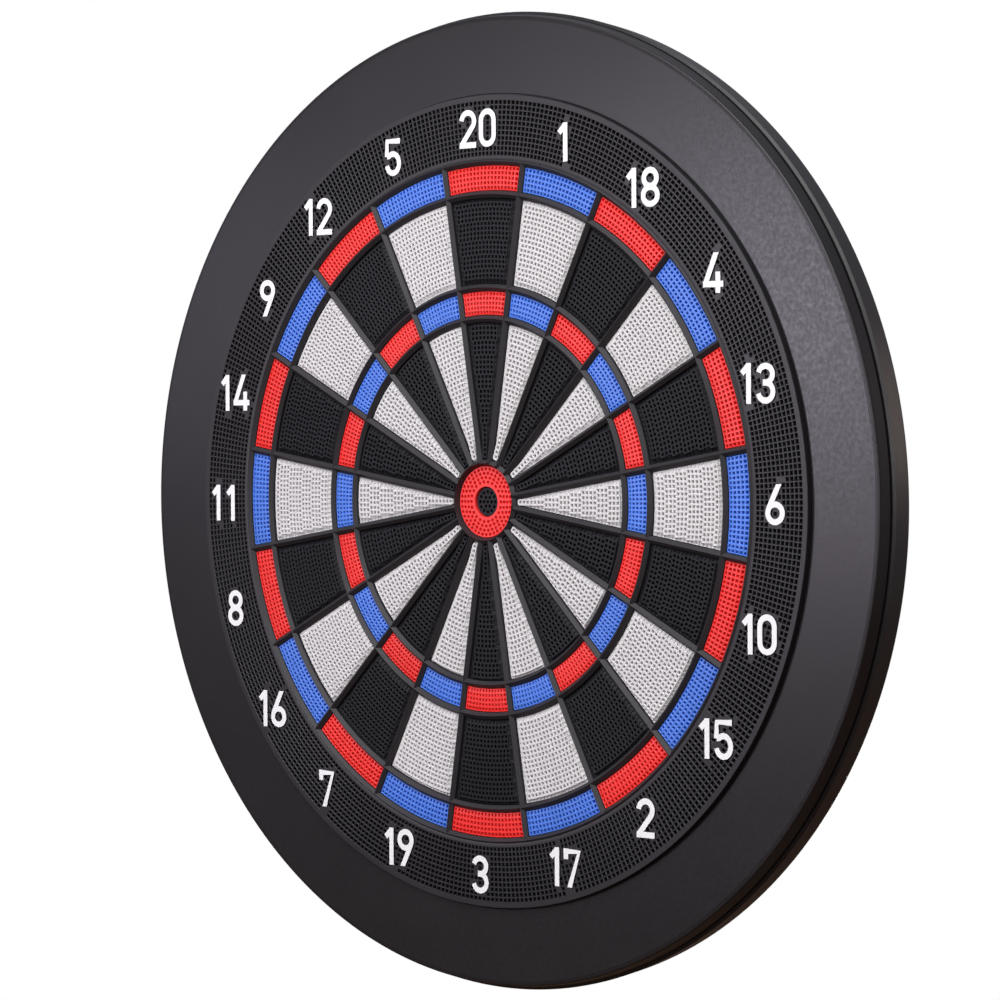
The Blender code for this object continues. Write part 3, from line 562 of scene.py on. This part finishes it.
def split_rims(edges, radius):
    """Sorts the edges of round rims into those inside a radius and those outside it."""
    inside = [edge for edge in edges if edge.verts[0].co.xy.length < radius]
    return inside, [edge for edge in edges if edge not in inside]


spider_shape = web_sheet(SPIDER_BACK)
back_windows = spider_shape.faces[:]
bmesh.ops.inset_individual(spider_shape, faces=back_windows, thickness=BAR_HALF + WINDOW_DRAFT,
                           use_even_offset=True)
bmesh.ops.delete(spider_shape, geom=back_windows, context="FACES")
front_shape = web_sheet(RIDGE)
windows = front_shape.faces[:]
for inset, sink in ((BAR_HALF, BED_FACE - RIDGE), (WINDOW_DRAFT, SPIDER_BACK - BED_FACE)):
    bmesh.ops.inset_individual(front_shape, faces=windows, thickness=inset, depth=sink, use_even_offset=True)
bmesh.ops.delete(front_shape, geom=windows, context="FACES")
ridge_rims = [edge for edge in front_shape.edges if edge.is_boundary and edge.verts[0].co.z > RIDGE - 0.1]
inner_rim, outer_rim = split_rims(ridge_rims, BAR_RINGS[1])
inner_line, outer_line = BAR_RINGS[0], BAR_RINGS[-1]
skirt(front_shape, outer_rim, [
    (outer_line + BAR_HALF, BED_FACE), (outer_line + BAR_HALF, RIM_FACE), (RIM_RADIUS, RIM_FACE),
    (RIM_RADIUS, RIM_BACK), (outer_line + BAR_HALF, RIM_BACK), (outer_line + BAR_HALF, SPIDER_BACK),
    (outer_line, SPIDER_BACK),
])
skirt(front_shape, inner_rim, [
    (inner_line - BULL_BAR, BULL_EDGE), (inner_line - BULL_BAR, SPIDER_BACK), (inner_line, SPIDER_BACK),
])
add_copy(spider_shape, front_shape)
front_shape.free()
bmesh.ops.remove_doubles(spider_shape, verts=spider_shape.verts, dist=0.03)
spider = fit_piece("spider_web", spider_shape, [spider_black])
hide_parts("spider")


# Numerals: 20 numbers in a plain upright technical hand, standing a little proud of the ring.
# White print on raised black strokes, moulded in one with the ring; each is a little off its sector's middle.
NUMERAL_CIRCLE = 218.0
NUMERAL_HEIGHT = 22.4
STROKE = 3.4
STROKE_STEP = 0.04       # from the top of a stroke to that of the next
RING_FACE = 31.2
NUMERAL_FACE = 31.98
NUMERAL_ROOT = RING_FACE - 0.4
FIGURE_GAP = 2.0
GAP_AFTER_ONE = 3.2
GAP_BETWEEN_ONES = 4.6
MARK_STEPS = 6           # places noted along each stretch of a stroke


def bow(x, y, wide, high, start, stop):
    """Points along a bow of an ellipse, in degrees from the right."""
    count = max(2, round(abs(stop - start) / 15))
    turns = [math.radians(start + (stop - start) * step / count) for step in range(count + 1)]
    return [(x + wide * math.cos(turn), y + high * math.sin(turn)) for turn in turns]


# Each figure has half its width and its strokes, about its middle. Strokes that run past it are cut off.
FIGURES = {
    "0": (6.7, [bow(0, 4.4, 5.0, 5.1, 0, 180) + bow(0, -4.4, 5.0, 5.1, 180, 360) + [(5.0, 4.4)]]),
    "1": (4.2, [[(2.4, -13), (2.4, 13)], [(-2.3, 5.4), (1.9, 9.6)]]),
    "2": (6.7, [bow(0, 4.5, 5.0, 5.0, 176, -38) + [(-4.7, -8.9)], [(-6.6, -9.5), (6.5, -9.5)]]),
    "3": (6.7, [bow(0, 4.95, 4.8, 4.55, 168, -90) + [(-1.8, 0.4)],
                [(-1.8, 0.4)] + bow(0, -4.55, 5.05, 4.95, 90, -168)]),
    "4": (7.2, [[(-5.3, -6.2), (3.3, 13)], [(-6.9, -6.2), (7.4, -6.2)], [(3.6, 0.6), (3.6, -13)]]),
    "5": (6.7, [[(5.9, 9.5), (-4.7, 9.5), (-5.0, 0.4)], [(-4.8, 0.6)] + bow(0, -3.8, 5.0, 5.7, 128, -168)]),
    "6": (6.7, [bow(0, -4.65, 5.0, 4.85, 0, 360), [(3.5, 13), (-4.5, -2.3)]]),
    "7": (6.9, [[(-6.9, 9.5), (4.8, 9.5), (-3.0, -13)], [(-5.1, 9.5), (-5.1, 4.9)]]),
    "8": (6.9, [bow(0, 5.0, 4.6, 4.5, 0, 360), bow(0, -4.75, 5.2, 4.75, 0, 360)]),
    "9": (6.7, [bow(0, 4.65, 5.0, 4.85, 0, 360), [(-3.5, -13), (4.5, 2.3)]]),
}
# How far each number stands right of and above its sector's middle.
SET_OFF = {
    20: (-2.3, 0.0), 1: (-4.2, -1.2), 18: (-5.5, 1.0), 4: (-3.5, -0.3), 13: (-3.8, -0.8), 6: (-2.5, 0.5),
    10: (-3.5, -3.1), 15: (-3.2, -1.2), 2: (-5.4, -0.2), 17: (-5.0, -1.8), 3: (-3.8, -0.4), 19: (-2.6, 0.2),
    7: (-1.9, 0.5), 16: (-1.4, -1.3), 8: (-2.4, -0.8), 11: (-2.5, -2.5), 14: (-1.9, -1.2), 9: (-2.8, -3.9),
    12: (-6.8, -4.0), 5: (-3.6, -2.3),
}
numeral_white = moulded("numeral_white", (0.86, 0.86, 0.86), 0.5, specular=0.3, grain=0.03, cloud=0.02)
ring_black = moulded("ring_black", (0.015, 0.014, 0.016), 0.46, specular=0.45, grain=0.08)


def pen(lines, width, bottom, top):
    """Draws flat strokes of one width between two heights, each stroke a hair lower than the one before."""
    nib = bpy.data.curves.new("nib", "CURVE")
    nib.dimensions = "2D"
    outline = nib.splines.new("POLY")
    outline.points.add(3)
    for point, (x, y) in zip(outline.points, ((-1, -1), (1, -1), (1, 1), (-1, 1))):
        point.co = (x * width / 2, y * (top - bottom) / 2, 0, 1)
    outline.use_cyclic_u = True
    path = bpy.data.curves.new("path", "CURVE")
    path.dimensions = "3D"
    path.twist_mode = "Z_UP"
    path.use_fill_caps = True
    for order, line in enumerate(lines):
        closed = math.dist(line[0], line[-1]) < 1e-3
        points = line[:-1] if closed else line
        spline = path.splines.new("POLY")
        spline.points.add(len(points) - 1)
        for point, (x, y) in zip(spline.points, points):
            point.co = (x, y, (bottom + top) / 2 - STROKE_STEP * order, 1)
        spline.use_cyclic_u = closed
    path.bevel_mode = "OBJECT"
    path.bevel_object = bpy.data.objects.new("nib", nib)
    drawn = bpy.data.objects.new("path", path)
    for shape in (drawn, path.bevel_object):
        bpy.context.collection.objects.link(shape)
    result = bmesh.new()
    mesh = bpy.data.meshes.new_from_object(drawn.evaluated_get(bpy.context.evaluated_depsgraph_get()))
    result.from_mesh(mesh)
    for shape in (path.bevel_object, drawn):
        bpy.data.objects.remove(shape)
    return result


drawn_figures = {}
for figure, (_, lines) in FIGURES.items():
    drawn = pen(lines, STROKE, NUMERAL_ROOT, NUMERAL_FACE)
    for side in (-1, 1):
        cut = bmesh.ops.bisect_plane(drawn, geom=drawn.verts[:] + drawn.edges[:] + drawn.faces[:],
                                     plane_co=(0, side * NUMERAL_HEIGHT / 2, 0), plane_no=(0, side, 0),
                                     clear_outer=True)["geom_cut"]
        bmesh.ops.edgeloop_fill(drawn, edges=[edge for edge in cut if isinstance(edge, bmesh.types.BMEdge)])
    drawn_figures[figure] = drawn
numeral_shape = bmesh.new()
marks = []
for sector, number in enumerate(NUMBERS):
    figures = str(number)
    gap = GAP_BETWEEN_ONES if number == 11 else GAP_AFTER_ONE if figures[0] == "1" else FIGURE_GAP
    wide = sum(2 * FIGURES[figure][0] for figure in figures) + gap * (len(figures) - 1)
    angle = math.pi / 2 - sector * 2 * HALF_SECTOR
    left = NUMERAL_CIRCLE * math.cos(angle) - wide / 2 + SET_OFF[number][0]
    up = NUMERAL_CIRCLE * math.sin(angle) + SET_OFF[number][1]
    for figure in figures:
        half, lines = FIGURES[figure]
        middle = Vector((left + half, up))
        add_copy(numeral_shape, drawn_figures[figure], shift=(*middle, 0))
        for line in lines:
            for start, end in zip(line, line[1:]):
                for step in range(MARK_STEPS + 1):
                    marks.append(middle + Vector(start).lerp(Vector(end), step / MARK_STEPS))
        left += 2 * half + gap
for drawn in drawn_figures.values():
    drawn.free()
bmesh.ops.recalc_face_normals(numeral_shape, faces=numeral_shape.faces)
for face in numeral_shape.faces:
    face.material_index = 1 if face.normal.z > 0.7 else 0
numerals = fit_piece("numerals", numeral_shape, [ring_black, numeral_white])


# Number ring: the wide flat ring outside the doubles, pierced all over so that stray soft tips stay in it.
# Black nylon, 11 rows of square holes, plain under the numerals and along its outer lip.
RING_INNER = 200.75
RING_OUTER = 237.2
RING_UNDER = 28.7
RING_EDGE = 0.25
LIP_UNDER = 27.9
LIP_WIDTH = 1.6
RING_COLUMNS = 440
RING_ROWS = 11
RING_PITCH = 2.96
FIRST_ROW = 201.6
PLAIN_BAND = 0.9         # beside a numeral's stroke
PATCH = 8                # side of the squares that the places along the strokes are sorted into
ring_shape = bmesh.new()
bmesh.ops.create_grid(ring_shape, x_segments=RING_COLUMNS, y_segments=RING_ROWS, size=1)
for vert in ring_shape.verts:
    radius = FIRST_ROW + RING_PITCH * RING_ROWS * (vert.co.y + 1) / 2
    angle = vert.co.x * math.pi
    vert.co = (radius * math.sin(angle), radius * math.cos(angle), RING_FACE)
bmesh.ops.remove_doubles(ring_shape, verts=ring_shape.verts, dist=1e-3)


def patch_of(place):
    """The square patch of the board that a place lies in."""
    return int(place.x // PATCH), int(place.y // PATCH)


near = {}
for mark in marks:
    near.setdefault(patch_of(mark), []).append(mark)


def under_numeral(place):
    """Whether a place on the ring lies under or close beside a numeral's stroke."""
    column, row = patch_of(place)
    around = [(column + across, row + up) for across in (-1, 0, 1) for up in (-1, 0, 1)]
    return any((mark - place.xy).length < STROKE / 2 + PLAIN_BAND
               for patch in around for mark in near.get(patch, []))


ring_cells = [face for face in ring_shape.faces if not under_numeral(face.calc_center_median())]
ring_rims = [edge for edge in ring_shape.edges if edge.is_boundary]
inner_rim, outer_rim = split_rims(ring_rims, NUMERAL_CIRCLE)
skirt(ring_shape, outer_rim, [
    (RING_OUTER - RING_EDGE, RING_FACE), (RING_OUTER, RING_FACE - RING_EDGE), (RING_OUTER, LIP_UNDER),
    (RING_OUTER - LIP_WIDTH, LIP_UNDER), (RING_OUTER - LIP_WIDTH, RING_UNDER), (RING_INNER, RING_UNDER),
])
skirt(ring_shape, inner_rim, [
    (RING_INNER - 1.1, RING_FACE), (RING_INNER - 1.3, RING_FACE - 0.1), (RING_INNER, RING_FACE - 1.2),
    (RING_INNER, RING_UNDER),
])
sink_holes(ring_shape, ring_cells, web=0.45, lead=0.28, depth=2.1)
number_ring = fit_piece("number_ring_mesh", ring_shape, [ring_black])
for piece in (number_ring, numerals):
    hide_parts("number_ring")


# Front surround: the broad flat ring that covers the case, with a ledge under the number ring's lip.
# Black moulding with a fine grain; a small step sets off its rounded outer edge. Screwed on from behind.
surround_shape = bmesh.new()
turned(surround_shape, [
    # ledge and the edge beside the number ring
    (239.0, 20.0), (239.0, 25.0), (236.0, 25.0), (236.0, 27.5), (237.9, 27.5), (238.0, 27.9), (238.2, 28.1),
    # face, step and rounded edge
    (280.3, 28.1), (280.4, 28.0), (282.0, 27.9), (282.15, 27.88), (282.6, 27.65), (282.9, 27.2),
    # drafted wall and the inside
    (283.0, 26.6), (284.1, 20.4), (281.0, 20.4), (281.0, 25.5), (241.4, 25.5), (241.4, 20.0),
])
surround = fit_piece("surround_ring", surround_shape, [case_black])
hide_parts("front_surround")


# Case screws: eight pan-head screws in the sinks of the rear cover, driven into posts of the surround.
# Zinc-plated steel with a cross recess.
HEAD_MIDDLE = 3.55
HEAD_HEIGHT = 1.3
HEAD_TOP = 2.6
HEAD_FOOT = 3.0
HEAD_ROUND = 0.5
RECESS_MIDDLE = 3.1
RECESS_DEPTH = 1.2
RECESS_LENGTH = 3.2
RECESS_WIDTH = 0.7
SCREW_TWIST = 0.7        # from one screw's recess to the next, in radians
screw_zinc = metal("screw_zinc", (0.50, 0.50, 0.50), 0.36)
head = bmesh.new()
pin(head, (0, 0, HEAD_MIDDLE), HEAD_TOP, HEAD_HEIGHT, HEAD_FOOT)
top_edges = [edge for edge in head.edges if all(vert.co.z < HEAD_MIDDLE for vert in edge.verts)]
soften(head, top_edges, HEAD_ROUND, 3)
for across, up in ((RECESS_LENGTH, RECESS_WIDTH), (RECESS_WIDTH, RECESS_LENGTH)):
    recess = bmesh.new()
    block(recess, (0, 0, RECESS_MIDDLE), (across, up, RECESS_DEPTH))
    head = carve(head, recess, "DIFFERENCE")
screw_shape = bmesh.new()
for place in screw_places:
    add_copy(screw_shape, head, shift=(*place, 0))
    bmesh.ops.rotate(head, cent=(0, 0, 0), matrix=Matrix.Rotation(SCREW_TWIST, 3, "Z"), verts=head.verts)
head.free()
fit_piece("case_screws", screw_shape, [screw_zinc])


# Studio: a pale floor far below the board and a white backdrop, which light nothing and aren't mirrored.
# The light comes from a room that is warm and dark below and pale above, and from soft lamps.
# The camera looks from the board's right, a little above its middle.
FLOOR_HEIGHT = -1.2
FLOOR_HALF = 3
BACKDROP_RADIUS = 8


def stage_piece(name, bm, finish):
    """Puts a piece in the studio that neither lights the board nor shows in it."""
    mesh = bpy.data.meshes.new(name)
    bm.to_mesh(mesh)
    bm.free()
    mesh.materials.append(finish)
    piece = bpy.data.objects.new(name, mesh)
    bpy.context.collection.objects.link(piece)
    piece.visible_diffuse = False
    piece.visible_glossy = False
    return piece


floor_pale = moulded("floor_pale", (0.82, 0.82, 0.82), 0.7, specular=0.2, grain=0.0, cloud=0.01)
floor_shape = bmesh.new()
bmesh.ops.create_grid(floor_shape, x_segments=1, y_segments=1, size=FLOOR_HALF,
                      matrix=Matrix.Translation((0, 0, FLOOR_HEIGHT)))
floor = stage_piece("floor", floor_shape, floor_pale)

backdrop_white = bpy.data.materials.new("backdrop_white")
backdrop_white.use_nodes = True
glow = backdrop_white.node_tree.nodes["Principled BSDF"].inputs
glow["Base Color"].default_value = (0, 0, 0, 1)
glow["Specular IOR Level"].default_value = 0.0
glow["Emission Color"].default_value = (1, 1, 1, 1)
glow["Emission Strength"].default_value = 1.0
dome_shape = bmesh.new()
bmesh.ops.create_icosphere(dome_shape, subdivisions=4, radius=BACKDROP_RADIUS)
backdrop = stage_piece("backdrop", dome_shape, backdrop_white)
backdrop.visible_transmission = False
backdrop.visible_shadow = False

room = bpy.data.worlds.new("room")
room.use_nodes = True
room_nodes = room.node_tree.nodes
room_links = room.node_tree.links
way = room_nodes.new("ShaderNodeTexCoord")
parts = room_nodes.new("ShaderNodeSeparateXYZ")
height = room_nodes.new("ShaderNodeMapRange")
height.inputs["From Min"].default_value = -1.0
shades = room_nodes.new("ShaderNodeValToRGB")
shades.color_ramp.elements[0].color = (0.13, 0.075, 0.05, 1)
shades.color_ramp.elements[1].color = (0.55, 0.55, 0.62, 1)
for level, shade in ((0.3, (0.12, 0.072, 0.05)), (0.5, (0.24, 0.23, 0.25)), (0.8, (0.32, 0.32, 0.36))):
    shades.color_ramp.elements.new(level).color = (*shade, 1)
room_links.new(way.outputs["Generated"], parts.inputs["Vector"])
room_links.new(parts.outputs["Z"], height.inputs["Value"])
room_links.new(height.outputs["Result"], shades.inputs["Fac"])
room_links.new(shades.outputs["Color"], room_nodes["Background"].inputs["Color"])
bpy.context.scene.world = room
bpy.context.scene.view_settings.view_transform = "Standard"


def lamp(name, place, aim, size, power, colour=(1, 1, 1)):
    """A soft square lamp turned towards a place."""
    light = bpy.data.lights.new(name, "AREA")
    light.size = size
    light.energy = power
    light.color = colour
    stand = bpy.data.objects.new(name, light)
    turn = (Vector(aim) - Vector(place)).to_track_quat("-Z", "Y")
    stand.matrix_world = Matrix.Translation(place) @ turn.to_matrix().to_4x4()
    bpy.context.collection.objects.link(stand)


lamp("key", (0.3, -1.2, 1.2), (0.05, 0, 0.05), 1.5, 30)
lamp("fill", (0.95, -1.25, 0.2), (0.28, 0, 0.0), 0.35, 2.9)
lamp("shine", (-0.62, -1.2, 0.15), (0.2, 0, 0.12), 0.30, 4.7, (1.0, 0.92, 1.08))
lamp("window", (-1.17, -0.92, 0.18), (-0.2, 0, 0.12), 0.30, 0.6, (0.95, 0.93, 1.15))
lamp("side", (1.0, 1.1, 0.3), (0.28, 0, 0.05), 0.5, 1.5, (1.0, 0.79, 0.71))
lamp("rear", (-1.0, 1.5, -0.1), (0, 0, 0), 0.8, 25)

CAMERA_PLACE = (1.4011, -1.5596, 0.0418)
YAW = -0.73733
PITCH = 0.019637
ROLL = -0.005937
board_axes = Matrix(((1, 0, 0), (0, 0, -1), (0, 1, 0)))
tilt = Matrix.Rotation(ROLL, 3, "Z") @ Matrix.Rotation(PITCH, 3, "X")
look = tilt @ board_axes @ Matrix.Rotation(YAW, 3, "Z")
axes = Matrix((look[0], -look[1], -look[2])).transposed()
camera_data = bpy.data.cameras.new("camera")
camera_data.sensor_width = 36.0
camera_data.lens = 127.77
camera = bpy.data.objects.new("camera", camera_data)
camera.matrix_world = Matrix.Translation(CAMERA_PLACE) @ axes.to_4x4()
bpy.context.collection.objects.link(camera)
bpy.context.scene.camera = camera
